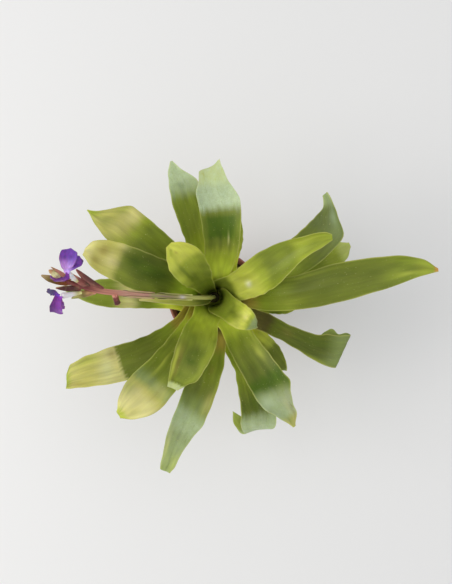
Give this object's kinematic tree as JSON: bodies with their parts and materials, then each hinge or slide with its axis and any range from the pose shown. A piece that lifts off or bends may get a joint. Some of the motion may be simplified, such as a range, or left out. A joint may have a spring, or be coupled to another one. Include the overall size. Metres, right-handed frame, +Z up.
{
  "type": "potted air plant",
  "caption": "Tank-forming air plant: a funnel rosette of broad strap leaves in a round plastic pot of bark mix, with a leaning violet flower spike.",
  "frame": {"origin": "centre of the pot's flat underside", "axes": "+Z up through the pot and the plant, +X to the right and +Y away from the viewer as the plant is seen from above; the flower stalk leans towards -X"},
  "size_m": [0.3255, 0.275, 0.2781],
  "materials": {
    "pot_plastic": "terracotta-coloured, thin moulded plastic, matt",
    "bark_mix": "chunky bark with pale pumice grains",
    "stem": "fibrous, dry",
    "leaf_outer": "old leaf: grey-green with a dusty bloom, scuffed, brownish at its base",
    "leaf_middle": "full-grown leaf: olive green, satin, pale at its drooping end",
    "leaf_inner": "young leaf: yellow-green, satin",
    "stalk_green": "pale green stalk and its papery bracts",
    "stalk_pink": "dusty pink stalk",
    "stub_brown": "dark red-brown stump of a side spike",
    "bract_maroon": "dark maroon, pink along its margins",
    "bract_orange": "orange-brown, fading to green",
    "bract_yellow": "pale yellow",
    "petal_violet": "velvety violet, white at the claw",
    "petal_white": "translucent white"
  },
  "bodies": {
    "root": {"pot": "pot_plastic", "bark_mix": "bark_mix", "stem": "stem", "leaf_under_right": "leaf_outer", "leaf_low_left": "leaf_outer", "leaf_low_right_back": "leaf_outer", "leaf_low_front_right": "leaf_outer", "leaf_low_back": "leaf_outer", "leaf_curled_right": "leaf_outer", "leaf_long_left_front": "leaf_outer", "leaf_rolled_front": "leaf_outer", "leaf_pale_left_back": "leaf_middle", "leaf_long_front": "leaf_middle", "leaf_dark_right_back": "leaf_middle", "leaf_back_left": "leaf_middle", "leaf_pale_front_left": "leaf_middle", "leaf_long_right": "leaf_middle", "leaf_broad_front_right": "leaf_middle", "leaf_broad_left": "leaf_middle", "leaf_broad_back": "leaf_middle", "leaf_young_front_left": "leaf_inner", "leaf_young_right_back": "leaf_inner", "leaf_young_front_right": "leaf_inner", "leaf_young_back_left": "leaf_inner", "flower_stalk": "stalk_pink", "stalk_bract_leafy": "stalk_green", "stalk_bract_rolled": "stalk_green", "stalk_bract_pink": "stalk_pink", "side_spike_stub": "stub_brown", "corolla_tube_1": "petal_white", "corolla_tube_2": "petal_white", "flower_bud": "bract_yellow", "floral_bract_1": "bract_maroon", "floral_bract_2": "bract_maroon", "floral_bract_3": "bract_maroon", "floral_bract_4": "bract_orange", "floral_bract_5": "bract_yellow", "floral_bract_6": "bract_orange", "petals_1": "petal_violet", "petals_2": "petal_violet"}
  },
  "joints": []
}
